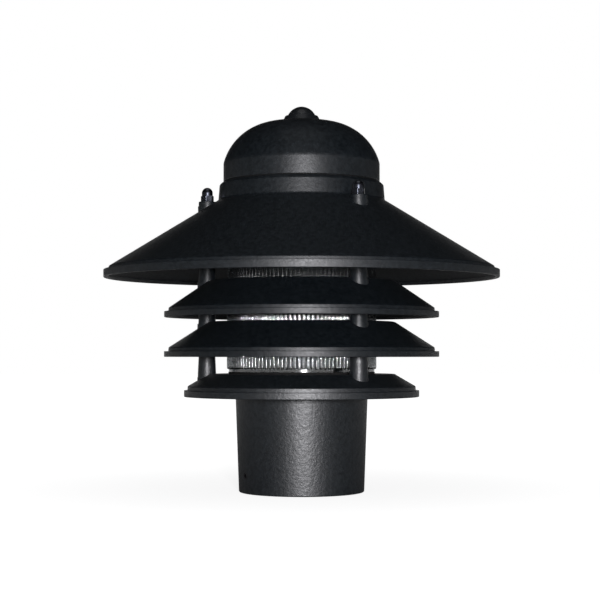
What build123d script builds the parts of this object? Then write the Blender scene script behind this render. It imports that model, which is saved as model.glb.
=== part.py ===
from build123d import *
import os
from math import cos, pi, radians, sin, tan

os.makedirs("parts", exist_ok=True)

# Louvered post lantern. Millimetres, +Z up, origin at the centre of the fitter's lower end.
# The lantern faces -Y: that is the side from which its front is seen.

# Fitter, the tube that slides over a post
post_diameter = 76.2
post_clearance = 0.4
fitter_wall = 3.7
fitter_draft = 2.15
bore_depth = 62.0
bore_lead_in = 0.8
stop_width = 2.5
fitter_edge_round = 0.8

# Bottom louver, cast in one with the fitter
base_top = 79.2
plate_thickness = 3.5
base_rim_reach = 15.4
base_rim_drop = 15.3
base_band_height = 3.6
base_ledge_width = 2.3
base_step_height = 2.3

# Louver rings: two castings of one shape
first_pitch = 36.2
tier_pitch = 26.7
louver_rim_radius = 92.75
louver_rim_drop = 24.7
louver_band_height = 3.2
louver_ledge_width = 2.85
louver_step_height = 2.6
louver_thickness = 3.2
louver_lens_gap = 4.0
flat_setback = 1.1

# Rims: how thick the band is, and how high the underside's straight lip goes
rim_thickness = 2.6
rim_lip_height = 1.7
rim_step_lean = 0.4
casting_round = 0.45

# Hood
hood_rim_radius = 133.35
hood_rim_rise = 1.8
hood_band_height = 4.7
hood_ledge_width = 3.35
hood_step_height = 2.8
hood_rim_thickness = 2.8
hood_lip_height = 2.4
hood_rise = 52.4
hood_thickness = 3.6

# Collar on the hood, and the flange inside it
collar_base_radius = 56.4
collar_taper = 0.8
collar_height = 10.3
collar_chamfer_width = 2.2
collar_chamfer_height = 2.0
collar_wall = 4.3
flange_width = 7.3
flange_thickness = 3.5
flange_drop = 6.3

# Dome cap
cap_setback = 2.6
cap_wall = 2.6
cap_band_height = 12.4
crown_radius = 37.8
crown_lean = 14.6
spigot_depth = 3.5
spigot_wall = 2.4
spigot_clearance = 0.3
cap_gasket_thickness = 0.6
cap_gasket_setback = 0.7

# Finial, its stud and its seal
stud_radius = 3.0
stud_thread_clearance = 0.08
stud_hole_clearance = 0.4
stud_end_chamfer = 0.5
thread_engagement = 5.0
thread_runout = 0.6
finial_washer_radius = 11.0
finial_washer_thickness = 0.8
finial_flange_radius = 12.9
finial_flange_top_radius = 11.1
finial_flange_height = 3.6
finial_dome_radius = 9.3
finial_dome_height = 6.4
finial_edge_round = 0.5

# Strap across the collar
strap_thickness = 2.0
strap_width = 14.0
strap_rise = 8.0
strap_end_gap = 1.0
stud_nut_flats = 10.0
stud_nut_height = 3.0
stud_tail = 1.5
bridge_screw_radius = 1.6
bridge_screw_head_radius = 2.9
bridge_screw_head_height = 2.0

# Tie rods, posts and nuts
rod_count = 3
nut_collar_gap = 7.5
rod_start_angle = -55.0
rod_radius = 2.5
rod_hole_clearance = 0.25
nut_thread_clearance = 0.1
post_top_radius = 5.0
post_draft = 2.5
seat_drop = 9.4
seat_boss_radius = 6.5
pillar_seat_radius = 5.6
pillar_draft = 1.2
nut_boss_radius = 5.8
nut_boss_drop = 1.1
nut_flats = 8.0
acorn_hex_height = 4.0
acorn_dome_radius = 3.7
acorn_height = 9.6
acorn_thread_depth = 6.0
base_boss_drop = 8.7
rod_washer_radius = 5.0
rod_washer_thickness = 1.0
rod_nut_height = 4.0
rod_tail = 0.9

# Lens: a glass tube with vertical reeds between two plain bands
lens_wall = 3.0
reed_count = 110
reed_height = 1.1
lens_plain_band = 2.5
lens_gasket_thickness = 1.5
lens_guide_height = 3.0
lens_guide_wall = 1.8
lens_guide_clearance = 0.3
lens_guide_setback = 0.3

# Lampholder on its threaded nipple
nipple_radius = 5.0
nipple_bore_radius = 3.5
nipple_below_plate = 9.0
nipple_above_plate = 6.8
nipple_hole_clearance = 0.2
locknut_flats = 14.0
locknut_height = 3.5
bushing_wall = 1.6
bushing_lip = 2.0
bushing_grip = 3.0
holder_radius = 19.0
holder_neck_radius = 17.5
holder_foot_height = 9.0
holder_height = 34.0
holder_floor_height = 10.0
holder_edge_round = 0.6
shell_thickness = 0.6
shell_height = 21.0
contact_radius = 4.0
contact_height = 3.0
contact_edge_chamfer = 0.75

# Lamp
lamp_screw_radius = 13.05
lamp_shell_clearance = 0.35
lamp_base_height = 24.0
lamp_base_wall = 0.8
lamp_thread_pitch = 3.63
lamp_thread_depth = 0.9
lamp_thread_turns = 5
lamp_thread_setback = 1.8
lamp_tip_radius = 4.6
lamp_tip_height = 2.4
lamp_tip_chamfer = 0.8
lamp_tip_gap = 0.2
lamp_insulator_radius = 9.0
lamp_wire_radius = 1.5
globe_radius = 24.0
globe_height = 62.0
globe_neck_height = 9.0
globe_neck_angle = 35.0
globe_wall = 1.0
globe_collar_clearance = 0.15

# Set screws in the fitter
set_screw_height = 12.0
set_screw_angle = -151.0
set_screw_radius = 2.5
set_screw_length = 4.0
set_screw_clearance = 0.08
set_screw_recess = 0.1
set_screw_key = 2.5
set_screw_key_depth = 2.0

# Ground screw on the base plate
ground_screw_distance = 32.0
ground_screw_angle = 20.0
ground_screw_radius = 2.0
ground_screw_clearance = 0.1
ground_head_radius = 4.0
ground_head_height = 2.4
ground_screw_tail = 2.0

# Sizes that follow from the ones above
bore_radius = post_diameter / 2 + post_clearance
fitter_radius = bore_radius + fitter_wall
plate_bottom = base_top - plate_thickness
fitter_top_radius = fitter_radius + plate_bottom * tan(radians(fitter_draft))
base_rim_bottom = base_top - base_rim_drop
lower_top = base_top + first_pitch
upper_top = lower_top + tier_pitch

collar_radius = collar_base_radius - collar_taper
collar_top_radius = collar_radius - collar_chamfer_width
collar_bore_radius = collar_radius - collar_wall
flange_inner_radius = collar_bore_radius - flange_width
cap_radius = collar_radius - cap_setback

lens_guide_radius = flange_inner_radius + lens_guide_setback + lens_guide_wall
lens_inner_radius = lens_guide_radius + lens_guide_clearance
lens_radius = lens_inner_radius + lens_wall
lens_crest_radius = lens_radius + reed_height
louver_inner_radius = lens_crest_radius + louver_lens_gap

rod_circle_radius = collar_base_radius + nut_collar_gap
flat_radius = rod_circle_radius - flat_setback
base_rim_radius = rod_circle_radius + base_rim_reach
rod_hole_radius = rod_radius + rod_hole_clearance
post_height = tier_pitch - seat_drop
hood_seat = upper_top + post_height

hood_rim_bottom = upper_top + hood_rim_rise
collar_base = hood_rim_bottom + hood_rise
collar_shoulder = collar_base + collar_height
collar_top = collar_shoulder + collar_chamfer_height
flange_bottom = collar_base - flange_drop
flange_top = flange_bottom + flange_thickness
hood_under_slope = (hood_rise - hood_thickness - hood_lip_height) / (
    hood_rim_radius - hood_rim_thickness - collar_base_radius
)
flange_outer_radius = collar_base_radius + (flange_drop - hood_thickness) / hood_under_slope
nut_seat = collar_base - nut_boss_drop

cap_bottom = collar_top + cap_gasket_thickness
crease = cap_bottom + cap_band_height
crown_centre_radius = cap_radius - crown_radius * cos(radians(crown_lean))
crown_centre = crease - crown_radius * sin(radians(crown_lean))
cap_top = crown_centre + crown_radius
spigot_radius = collar_bore_radius - spigot_clearance
spigot_bottom = cap_bottom - spigot_depth
stud_hole_radius = stud_radius + stud_hole_clearance
finial_bottom = cap_top + finial_washer_thickness
finial_shoulder = finial_bottom + finial_flange_height
finial_top = finial_shoulder + finial_dome_height
stud_top = finial_bottom + thread_engagement

strap_top = flange_top + strap_rise + strap_thickness
strap_half_length = collar_bore_radius - strap_end_gap
strap_leg = flange_inner_radius
bridge_screw_distance = (strap_leg + strap_half_length) / 2
stud_bottom = strap_top - strap_thickness - stud_nut_height - stud_tail

base_boss_bottom = base_top - base_boss_drop
rod_nut_top = base_boss_bottom - rod_washer_thickness
rod_nut_bottom = rod_nut_top - rod_nut_height
rod_bottom = rod_nut_bottom - rod_tail
rod_top = nut_seat + acorn_thread_depth

lens_bottom = base_top + lens_gasket_thickness
lens_top = flange_bottom - lens_gasket_thickness

nipple_bottom = plate_bottom - nipple_below_plate
nipple_top = base_top + nipple_above_plate
shell_radius = lamp_screw_radius + lamp_shell_clearance + shell_thickness
holder_floor = base_top + holder_floor_height
lamp_bottom = holder_floor + contact_height + lamp_tip_gap
lamp_base_bottom = lamp_bottom + lamp_tip_height
lamp_base_top = lamp_base_bottom + lamp_base_height
globe_neck_radius = lamp_screw_radius - lamp_base_wall - globe_collar_clearance
globe_centre = lamp_base_top + globe_height - globe_radius


def skirt(rim_radius, rim_bottom, band, ledge, step, top_radius, top):
    """Outer edge of a stepped rim and the cone above it, from the rim's lower edge up."""
    step_radius = rim_radius - ledge
    return [
        (rim_radius, rim_bottom),
        (rim_radius, rim_bottom + band),
        (step_radius, rim_bottom + band),
        (step_radius - rim_step_lean, rim_bottom + band + step),
        (top_radius, top),
    ]


def underside(rim_radius, rim_bottom, thickness, lip, top_radius, top):
    """Inner edge under a skirt, from the top down to the rim's lower edge."""
    lip_radius = rim_radius - thickness
    return [
        (top_radius, top),
        (lip_radius, rim_bottom + lip),
        (lip_radius, rim_bottom),
    ]


def rod_places():
    """The three places of the tie rods."""
    return PolarLocations(rod_circle_radius, rod_count, start_angle=rod_start_angle)


def polar_point(radius, angle, height):
    """A point at a distance from the lantern's axis."""
    return (radius * cos(radians(angle)), radius * sin(radians(angle)), height)


def radial_plane(radius, angle, height):
    """A plane at a distance from the lantern's axis, facing away from it."""
    return Plane(origin=polar_point(radius, angle, height), z_dir=polar_point(1, angle, 0))


def save(piece, name):
    """Name a finished piece and write it."""
    piece.part.label = name
    export_step(piece.part, f"parts/{name}.step")


# Base casting: fitter, bottom louver, plate, posts and lens guide
base_profile = [
    (bore_radius + bore_lead_in, 0),
    (fitter_radius, 0),
    (fitter_top_radius, plate_bottom),
    *underside(base_rim_radius, base_rim_bottom, rim_thickness, rim_lip_height, flat_radius, plate_bottom),
    *skirt(
        base_rim_radius,
        base_rim_bottom,
        base_band_height,
        base_ledge_width,
        base_step_height,
        flat_radius,
        base_top,
    ),
    (lens_guide_radius, base_top),
    (lens_guide_radius, base_top + lens_guide_height),
    (lens_guide_radius - lens_guide_wall, base_top + lens_guide_height),
    (lens_guide_radius - lens_guide_wall, base_top),
    (0, base_top),
    (0, plate_bottom),
    (bore_radius - stop_width, plate_bottom),
    (bore_radius - stop_width, bore_depth),
    (bore_radius, bore_depth),
    (bore_radius, bore_lead_in),
]
base_post_height = lower_top - seat_drop - base_top
set_screw_angles = {"front_set_screw": set_screw_angle, "rear_set_screw": set_screw_angle + 180}

with BuildPart() as base_fitter:
    with BuildSketch(Plane.XZ) as base_section:
        with BuildLine():
            Polyline(*base_profile, close=True)
        make_face()
        fillet(base_section.vertices().filter_by(lambda v: v.X > lens_crest_radius), casting_round)
        fillet(base_section.vertices().sort_by(Axis.Y)[0:2].sort_by(Axis.X)[-1], fitter_edge_round)
    revolve(axis=Axis.Z)
    with BuildSketch(Plane.XY.offset(base_boss_bottom)):
        with rod_places():
            Circle(seat_boss_radius)
    extrude(amount=plate_bottom - base_boss_bottom)
    with BuildSketch(Plane.XY.offset(lower_top - seat_drop)):
        with rod_places():
            Circle(post_top_radius)
    extrude(amount=-(base_post_height + plate_thickness), taper=-post_draft)
    with Locations((0, 0, base_boss_bottom)):
        with rod_places():
            Cylinder(
                rod_hole_radius,
                lower_top - base_boss_bottom,
                align=(Align.CENTER, Align.CENTER, Align.MIN),
                mode=Mode.SUBTRACT,
            )
    with Locations((0, 0, base_top)):
        Hole(nipple_radius + nipple_hole_clearance, depth=plate_thickness)
    with Locations(polar_point(ground_screw_distance, ground_screw_angle, base_top)):
        Hole(ground_screw_radius + ground_screw_clearance, depth=plate_thickness)
    for angle in set_screw_angles.values():
        with BuildSketch(radial_plane(0, angle, set_screw_height)):
            Circle(set_screw_radius + set_screw_clearance)
        extrude(amount=fitter_top_radius, mode=Mode.SUBTRACT)
save(base_fitter, "base_fitter")

# Louver rings, each with three drafted posts on top and three seats below
for louver_name, louver_top in (("lower_louver", lower_top), ("upper_louver", upper_top)):
    rim_bottom = louver_top - louver_rim_drop
    louver_profile = [
        *skirt(
            louver_rim_radius,
            rim_bottom,
            louver_band_height,
            louver_ledge_width,
            louver_step_height,
            flat_radius,
            louver_top,
        ),
        (louver_inner_radius, louver_top),
        (louver_inner_radius, louver_top - louver_thickness),
        *underside(
            louver_rim_radius,
            rim_bottom,
            rim_thickness,
            rim_lip_height,
            flat_radius,
            louver_top - louver_thickness,
        ),
    ]
    with BuildPart() as louver:
        with BuildSketch(Plane.XZ) as louver_section:
            with BuildLine():
                Polyline(*louver_profile, close=True)
            make_face()
            fillet(louver_section.vertices(), casting_round)
        revolve(axis=Axis.Z)
        with BuildSketch(Plane.XY.offset(louver_top - seat_drop)):
            with rod_places():
                Circle(seat_boss_radius)
        extrude(amount=seat_drop - louver_thickness / 2)
        with BuildSketch(Plane.XY.offset(louver_top + post_height)):
            with rod_places():
                Circle(post_top_radius)
        extrude(amount=-(post_height + louver_thickness), taper=-post_draft)
        with Locations((0, 0, louver_top - seat_drop)):
            with rod_places():
                Cylinder(
                    rod_hole_radius,
                    seat_drop + post_height,
                    align=(Align.CENTER, Align.CENTER, Align.MIN),
                    mode=Mode.SUBTRACT,
                )
    save(louver, louver_name)

# Hood: cone, collar, inner flange, pillars down to the upper louver's posts and bosses for the nuts
hood_profile = [
    *skirt(
        hood_rim_radius,
        hood_rim_bottom,
        hood_band_height,
        hood_ledge_width,
        hood_step_height,
        collar_base_radius,
        collar_base,
    ),
    (collar_radius, collar_shoulder),
    (collar_top_radius, collar_top),
    (collar_bore_radius, collar_top),
    (collar_bore_radius, flange_top),
    (flange_inner_radius, flange_top),
    (flange_inner_radius, flange_bottom),
    (lens_guide_radius - lens_guide_wall, flange_bottom),
    (lens_guide_radius - lens_guide_wall, flange_bottom - lens_guide_height),
    (lens_guide_radius, flange_bottom - lens_guide_height),
    (lens_guide_radius, flange_bottom),
    *underside(
        hood_rim_radius,
        hood_rim_bottom,
        hood_rim_thickness,
        hood_lip_height,
        flange_outer_radius,
        flange_bottom,
    ),
]

with BuildPart() as hood:
    with BuildSketch(Plane.XZ) as hood_section:
        with BuildLine():
            Polyline(*hood_profile, close=True)
        make_face()
        fillet(hood_section.vertices().filter_by(lambda v: v.X > lens_crest_radius), casting_round)
    revolve(axis=Axis.Z)
    with BuildSketch(Plane.XY.offset(hood_seat)):
        with rod_places():
            Circle(pillar_seat_radius)
    extrude(amount=flange_top - hood_seat, taper=-pillar_draft)
    with BuildSketch(Plane.XY.offset(flange_bottom)):
        with rod_places():
            Circle(nut_boss_radius)
    extrude(amount=nut_seat - flange_bottom)
    with Locations((0, 0, hood_seat)):
        with rod_places():
            Cylinder(
                rod_hole_radius,
                nut_seat - hood_seat,
                align=(Align.CENTER, Align.CENTER, Align.MIN),
                mode=Mode.SUBTRACT,
            )
    with Locations((0, 0, flange_top)):
        with PolarLocations(bridge_screw_distance, 2):
            Hole(bridge_screw_radius, depth=flange_thickness)
save(hood, "hood")

# Tie rods and their nuts
with BuildPart() as tie_rods:
    with BuildSketch(Plane.XY.offset(rod_bottom)):
        with rod_places():
            Circle(rod_radius)
    extrude(amount=rod_top - rod_bottom)
save(tie_rods, "tie_rods")

with BuildPart() as acorn_nuts:
    with BuildSketch(Plane.XY.offset(nut_seat)):
        with rod_places():
            RegularPolygon(nut_flats / 2, 6, major_radius=False)
    extrude(amount=acorn_hex_height)
    with BuildSketch(Plane.XY.offset(nut_seat)):
        with rod_places():
            Circle(acorn_dome_radius)
    extrude(amount=acorn_height - acorn_dome_radius)
    with Locations((0, 0, nut_seat + acorn_height - acorn_dome_radius)):
        with rod_places():
            Sphere(acorn_dome_radius)
    with BuildSketch(Plane.XY.offset(nut_seat)):
        with rod_places():
            Circle(rod_radius + nut_thread_clearance)
    extrude(amount=acorn_thread_depth, mode=Mode.SUBTRACT)
save(acorn_nuts, "acorn_nuts")

with BuildPart() as rod_washers:
    with BuildSketch(Plane.XY.offset(rod_nut_top)):
        with rod_places():
            Circle(rod_washer_radius)
            Circle(rod_hole_radius, mode=Mode.SUBTRACT)
    extrude(amount=rod_washer_thickness)
save(rod_washers, "rod_washers")

with BuildPart() as rod_nuts:
    with BuildSketch(Plane.XY.offset(rod_nut_bottom)):
        with rod_places():
            RegularPolygon(nut_flats / 2, 6, major_radius=False)
            Circle(rod_radius + nut_thread_clearance, mode=Mode.SUBTRACT)
    extrude(amount=rod_nut_height)
save(rod_nuts, "rod_nuts")

# Lens: plain tube with reeds that stop short of both ends
reed_radius = pi * lens_radius / reed_count
with BuildPart() as lens:
    with BuildSketch(Plane.XY.offset(lens_bottom)):
        Circle(lens_radius)
        Circle(lens_inner_radius, mode=Mode.SUBTRACT)
    extrude(amount=lens_top - lens_bottom)
    with BuildSketch(Plane.XY.offset(lens_bottom + lens_plain_band)):
        Circle(lens_radius)
        with PolarLocations(lens_crest_radius - reed_radius, reed_count):
            Circle(reed_radius)
        Circle(lens_inner_radius, mode=Mode.SUBTRACT)
    extrude(amount=lens_top - lens_bottom - 2 * lens_plain_band)
save(lens, "lens")

for gasket_name, gasket_bottom in (("lens_gasket_lower", base_top), ("lens_gasket_upper", lens_top)):
    with BuildPart() as lens_gasket:
        with BuildSketch(Plane.XY.offset(gasket_bottom)):
            Circle(lens_radius)
            Circle(lens_inner_radius, mode=Mode.SUBTRACT)
        extrude(amount=lens_gasket_thickness)
    save(lens_gasket, gasket_name)

# Cap with its gasket
cap_inner_radius = cap_radius - cap_wall
inner_crown_radius = crown_radius - cap_wall
inner_crown_height = (inner_crown_radius**2 - (cap_inner_radius - crown_centre_radius) ** 2) ** 0.5
inner_crease = crown_centre + inner_crown_height
crown_mid = radians((90 + crown_lean) / 2)

with BuildPart() as dome_cap:
    with BuildSketch(Plane.XZ) as cap_section:
        with BuildLine():
            Polyline(
                (stud_hole_radius, cap_top - cap_wall),
                (stud_hole_radius, cap_top),
                (crown_centre_radius, cap_top),
            )
            ThreePointArc(
                (crown_centre_radius, cap_top),
                (
                    crown_centre_radius + crown_radius * cos(crown_mid),
                    crown_centre + crown_radius * sin(crown_mid),
                ),
                (cap_radius, crease),
            )
            Polyline(
                (cap_radius, crease),
                (cap_radius, cap_bottom),
                (spigot_radius, cap_bottom),
                (spigot_radius, spigot_bottom),
                (spigot_radius - spigot_wall, spigot_bottom),
                (spigot_radius - spigot_wall, cap_bottom + cap_wall),
                (cap_inner_radius, cap_bottom + cap_wall),
                (cap_inner_radius, inner_crease),
            )
            ThreePointArc(
                (cap_inner_radius, inner_crease),
                (
                    crown_centre_radius + inner_crown_radius * cos(crown_mid),
                    crown_centre + inner_crown_radius * sin(crown_mid),
                ),
                (crown_centre_radius, cap_top - cap_wall),
            )
            Line((crown_centre_radius, cap_top - cap_wall), (stud_hole_radius, cap_top - cap_wall))
        make_face()
        fillet(cap_section.vertices().filter_by(lambda v: v.X > collar_bore_radius), casting_round)
    revolve(axis=Axis.Z)
save(dome_cap, "dome_cap")

with BuildPart() as cap_gasket:
    with BuildSketch(Plane.XY.offset(collar_top)):
        Circle(cap_radius - cap_gasket_setback)
        Circle(collar_bore_radius, mode=Mode.SUBTRACT)
    extrude(amount=cap_gasket_thickness)
save(cap_gasket, "cap_gasket")

# Finial and the seal under it
with BuildPart() as finial:
    with BuildSketch(Plane.XZ):
        with BuildLine():
            Polyline(
                (stud_radius + stud_thread_clearance, finial_bottom),
                (finial_flange_radius, finial_bottom),
                (finial_flange_top_radius, finial_shoulder),
                (finial_dome_radius, finial_shoulder),
            )
            Bezier(
                (finial_dome_radius, finial_shoulder),
                (finial_dome_radius / 2, finial_top),
                (0, finial_top),
            )
            Polyline(
                (0, finial_top),
                (0, stud_top + thread_runout),
                (stud_radius + stud_thread_clearance, stud_top + thread_runout),
                (stud_radius + stud_thread_clearance, finial_bottom),
            )
        make_face()
    revolve(axis=Axis.Z)
    rims = finial.edges().filter_by(GeomType.CIRCLE).filter_by(lambda e: e.radius > finial_dome_radius)
    fillet(rims, finial_edge_round)
save(finial, "finial")

with BuildPart() as finial_washer:
    with BuildSketch(Plane.XY.offset(cap_top)):
        Circle(finial_washer_radius)
        Circle(stud_hole_radius, mode=Mode.SUBTRACT)
    extrude(amount=finial_washer_thickness)
save(finial_washer, "finial_washer")

# Strap, stud and their fasteners
with BuildPart() as cap_stud:
    with BuildSketch(Plane.XY.offset(stud_bottom)):
        Circle(stud_radius)
    extrude(amount=stud_top - stud_bottom)
    chamfer(cap_stud.edges().filter_by(GeomType.CIRCLE), stud_end_chamfer)
save(cap_stud, "cap_stud")

with BuildPart() as cap_bridge:
    with BuildSketch(Plane.XZ):
        with BuildLine():
            Polyline(
                (-strap_half_length, flange_top),
                (-strap_leg + strap_thickness, flange_top),
                (-strap_leg + strap_thickness, strap_top - strap_thickness),
                (strap_leg - strap_thickness, strap_top - strap_thickness),
                (strap_leg - strap_thickness, flange_top),
                (strap_half_length, flange_top),
                (strap_half_length, flange_top + strap_thickness),
                (strap_leg, flange_top + strap_thickness),
                (strap_leg, strap_top),
                (-strap_leg, strap_top),
                (-strap_leg, flange_top + strap_thickness),
                (-strap_half_length, flange_top + strap_thickness),
                close=True,
            )
        make_face()
    extrude(amount=strap_width / 2, both=True)
    with Locations((0, 0, strap_top)):
        Hole(stud_radius + nut_thread_clearance, depth=strap_thickness)
    with Locations((0, 0, flange_top + strap_thickness)):
        with PolarLocations(bridge_screw_distance, 2):
            Hole(bridge_screw_radius + nut_thread_clearance, depth=strap_thickness)
save(cap_bridge, "cap_bridge")

with BuildPart() as stud_nuts:
    for nut_bottom in (strap_top, strap_top - strap_thickness - stud_nut_height):
        with BuildSketch(Plane.XY.offset(nut_bottom)):
            RegularPolygon(stud_nut_flats / 2, 6, major_radius=False)
            Circle(stud_radius + nut_thread_clearance, mode=Mode.SUBTRACT)
        extrude(amount=stud_nut_height)
save(stud_nuts, "stud_nuts")

with BuildPart() as bridge_screws:
    with BuildSketch(Plane.XY.offset(flange_bottom)):
        with PolarLocations(bridge_screw_distance, 2):
            Circle(bridge_screw_radius)
    extrude(amount=flange_thickness + strap_thickness)
    with BuildSketch(Plane.XY.offset(flange_top + strap_thickness)):
        with PolarLocations(bridge_screw_distance, 2):
            Circle(bridge_screw_head_radius)
    extrude(amount=bridge_screw_head_height)
save(bridge_screws, "bridge_screws")

# Lampholder on its nipple
with BuildPart() as nipple:
    with BuildSketch(Plane.XY.offset(nipple_bottom)):
        Circle(nipple_radius)
        Circle(nipple_bore_radius, mode=Mode.SUBTRACT)
    extrude(amount=nipple_top - nipple_bottom)
save(nipple, "nipple")

with BuildPart() as nipple_locknut:
    with BuildSketch(Plane.XY.offset(plate_bottom - locknut_height)):
        RegularPolygon(locknut_flats / 2, 6, major_radius=False)
        Circle(nipple_radius + nut_thread_clearance, mode=Mode.SUBTRACT)
    extrude(amount=locknut_height)
save(nipple_locknut, "nipple_locknut")

with BuildPart() as nipple_bushing:
    with BuildSketch(Plane.XY.offset(nipple_bottom - bushing_lip)):
        Circle(nipple_radius + bushing_wall)
        Circle(nipple_bore_radius, mode=Mode.SUBTRACT)
    extrude(amount=bushing_lip)
    with BuildSketch(Plane.XY.offset(nipple_bottom)):
        Circle(nipple_radius + bushing_wall)
        Circle(nipple_radius, mode=Mode.SUBTRACT)
    extrude(amount=bushing_grip)
save(nipple_bushing, "nipple_bushing")

with BuildPart() as lampholder:
    with BuildSketch(Plane.XZ) as holder_section:
        with BuildLine():
            Polyline(
                (nipple_radius, base_top),
                (holder_radius, base_top),
                (holder_radius, base_top + holder_foot_height),
                (holder_neck_radius, base_top + holder_foot_height),
                (holder_neck_radius, base_top + holder_height),
                (shell_radius, base_top + holder_height),
                (shell_radius, holder_floor),
                (0, holder_floor),
                (0, nipple_top),
                (nipple_radius, nipple_top),
                close=True,
            )
        make_face()
        fillet(
            holder_section.vertices().filter_by(lambda v: v.X >= holder_neck_radius and v.Y > nipple_top),
            holder_edge_round,
        )
    revolve(axis=Axis.Z)
save(lampholder, "lampholder")

with BuildPart() as screw_shell:
    with BuildSketch(Plane.XY.offset(holder_floor)):
        Circle(shell_radius)
        Circle(shell_radius - shell_thickness, mode=Mode.SUBTRACT)
    extrude(amount=shell_height)
    with BuildSketch(Plane.XY.offset(holder_floor)):
        Circle(shell_radius)
        Circle(lamp_insulator_radius, mode=Mode.SUBTRACT)
    extrude(amount=shell_thickness)
save(screw_shell, "screw_shell")

with BuildPart() as centre_contact:
    with BuildSketch(Plane.XY.offset(holder_floor)):
        Circle(contact_radius)
    extrude(amount=contact_height)
    chamfer(centre_contact.edges().sort_by(Axis.Z)[-1], contact_edge_chamfer)
save(centre_contact, "centre_contact")

# Lamp: screw base with rounded threads, contact tip and glass globe
thread_floor = lamp_screw_radius - lamp_thread_depth
thread_top = lamp_base_top - lamp_thread_setback
thread_bottom = thread_top - lamp_thread_pitch * lamp_thread_turns

with BuildPart() as lamp_base:
    with BuildSketch(Plane.XZ):
        with BuildLine():
            Polyline(
                (lamp_wire_radius, lamp_base_bottom),
                (lamp_insulator_radius, lamp_base_bottom),
                (thread_floor, thread_bottom),
            )
            for turn in range(lamp_thread_turns):
                low = thread_bottom + turn * lamp_thread_pitch
                ThreePointArc(
                    (thread_floor, low),
                    (lamp_screw_radius, low + lamp_thread_pitch / 2),
                    (thread_floor, low + lamp_thread_pitch),
                )
            Polyline(
                (thread_floor, thread_top),
                (lamp_screw_radius, lamp_base_top),
                (globe_neck_radius, lamp_base_top),
                (globe_neck_radius, lamp_base_top - globe_neck_height),
                (lamp_wire_radius, lamp_base_top - globe_neck_height),
                (lamp_wire_radius, lamp_base_bottom),
            )
        make_face()
    revolve(axis=Axis.Z)
save(lamp_base, "lamp_base")

with BuildPart() as lamp_tip:
    with BuildSketch(Plane.XY.offset(lamp_bottom)):
        Circle(lamp_tip_radius)
    extrude(amount=lamp_tip_height)
    chamfer(lamp_tip.edges().sort_by(Axis.Z)[0], lamp_tip_chamfer)
save(lamp_tip, "lamp_tip")

globe_side = radians(-globe_neck_angle)
globe_side_radius = globe_radius * cos(globe_side)
globe_side_height = globe_centre + globe_radius * sin(globe_side)
globe_inner_radius = globe_radius - globe_wall

with BuildPart() as lamp_globe:
    with BuildSketch(Plane.XZ):
        with BuildLine():
            globe_outer = ThreePointArc(
                (0, globe_centre + globe_radius),
                (globe_radius, globe_centre),
                (globe_side_radius, globe_side_height),
            )
            neck_outer = Spline(
                globe_outer @ 1,
                (globe_neck_radius, lamp_base_top),
                tangents=(globe_outer % 1, (0, -1)),
            )
            Polyline(
                neck_outer @ 1,
                (globe_neck_radius, lamp_base_top - globe_neck_height),
                (globe_neck_radius - globe_wall, lamp_base_top - globe_neck_height),
                (globe_neck_radius - globe_wall, lamp_base_top),
            )
            globe_inner = ThreePointArc(
                (0, globe_centre + globe_inner_radius),
                (globe_inner_radius, globe_centre),
                (globe_inner_radius * cos(globe_side), globe_centre + globe_inner_radius * sin(globe_side)),
            )
            Spline(
                globe_inner @ 1,
                (globe_neck_radius - globe_wall, lamp_base_top),
                tangents=(globe_inner % 1, (0, -1)),
            )
            Line((0, globe_centre + globe_inner_radius), (0, globe_centre + globe_radius))
        make_face()
    revolve(axis=Axis.Z)
save(lamp_globe, "lamp_globe")

# Set screws in the fitter, backed off so that their tips lie just behind the bore's wall
for screw_name, angle in set_screw_angles.items():
    tip = bore_radius + set_screw_recess
    with BuildPart() as set_screw:
        with BuildSketch(radial_plane(tip, angle, set_screw_height)):
            Circle(set_screw_radius)
        extrude(amount=set_screw_length)
        with BuildSketch(radial_plane(tip + set_screw_length, angle, set_screw_height)):
            RegularPolygon(set_screw_key / 2, 6, major_radius=False)
        extrude(amount=-set_screw_key_depth, mode=Mode.SUBTRACT)
    save(set_screw, screw_name)

# Ground screw on the base plate
with BuildPart() as ground_screw:
    ground_place = polar_point(ground_screw_distance, ground_screw_angle, base_top)
    with BuildSketch(Plane(origin=ground_place)):
        Circle(ground_head_radius)
    extrude(amount=ground_head_height)
    with BuildSketch(Plane(origin=ground_place)):
        Circle(ground_screw_radius)
    extrude(amount=-(plate_thickness + ground_screw_tail))
save(ground_screw, "ground_screw")
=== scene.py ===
# %% [markdown]
# # A louvered post lantern
# The lantern is a stack of black powder-coated castings round a clear reeded lens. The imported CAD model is
# loaded first: it is the fixed frame, and every new piece below is built where its CAD node lies and takes
# its place. The lantern's sizes are written in millimetres, because that is how a maker reads a drawing, and
# MM scales them to Blender's metres.

# %% Load the frame
from math import acos, cos, degrees, pi, radians, sin, sqrt, tan

import bmesh
import bpy
from mathutils import Matrix, Vector


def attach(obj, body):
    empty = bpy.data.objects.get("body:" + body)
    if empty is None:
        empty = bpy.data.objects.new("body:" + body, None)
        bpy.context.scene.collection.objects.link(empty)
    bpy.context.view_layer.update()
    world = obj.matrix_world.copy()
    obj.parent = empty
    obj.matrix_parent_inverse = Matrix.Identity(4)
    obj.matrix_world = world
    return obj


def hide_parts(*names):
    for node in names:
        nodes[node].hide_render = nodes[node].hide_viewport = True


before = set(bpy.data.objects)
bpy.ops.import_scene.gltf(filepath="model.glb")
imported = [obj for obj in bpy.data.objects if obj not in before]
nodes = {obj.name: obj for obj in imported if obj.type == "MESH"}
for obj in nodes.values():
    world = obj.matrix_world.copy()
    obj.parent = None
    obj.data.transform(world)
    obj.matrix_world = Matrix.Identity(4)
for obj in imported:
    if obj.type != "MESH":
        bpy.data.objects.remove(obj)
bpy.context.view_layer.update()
scene = bpy.context.scene
MM = 0.001

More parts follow.
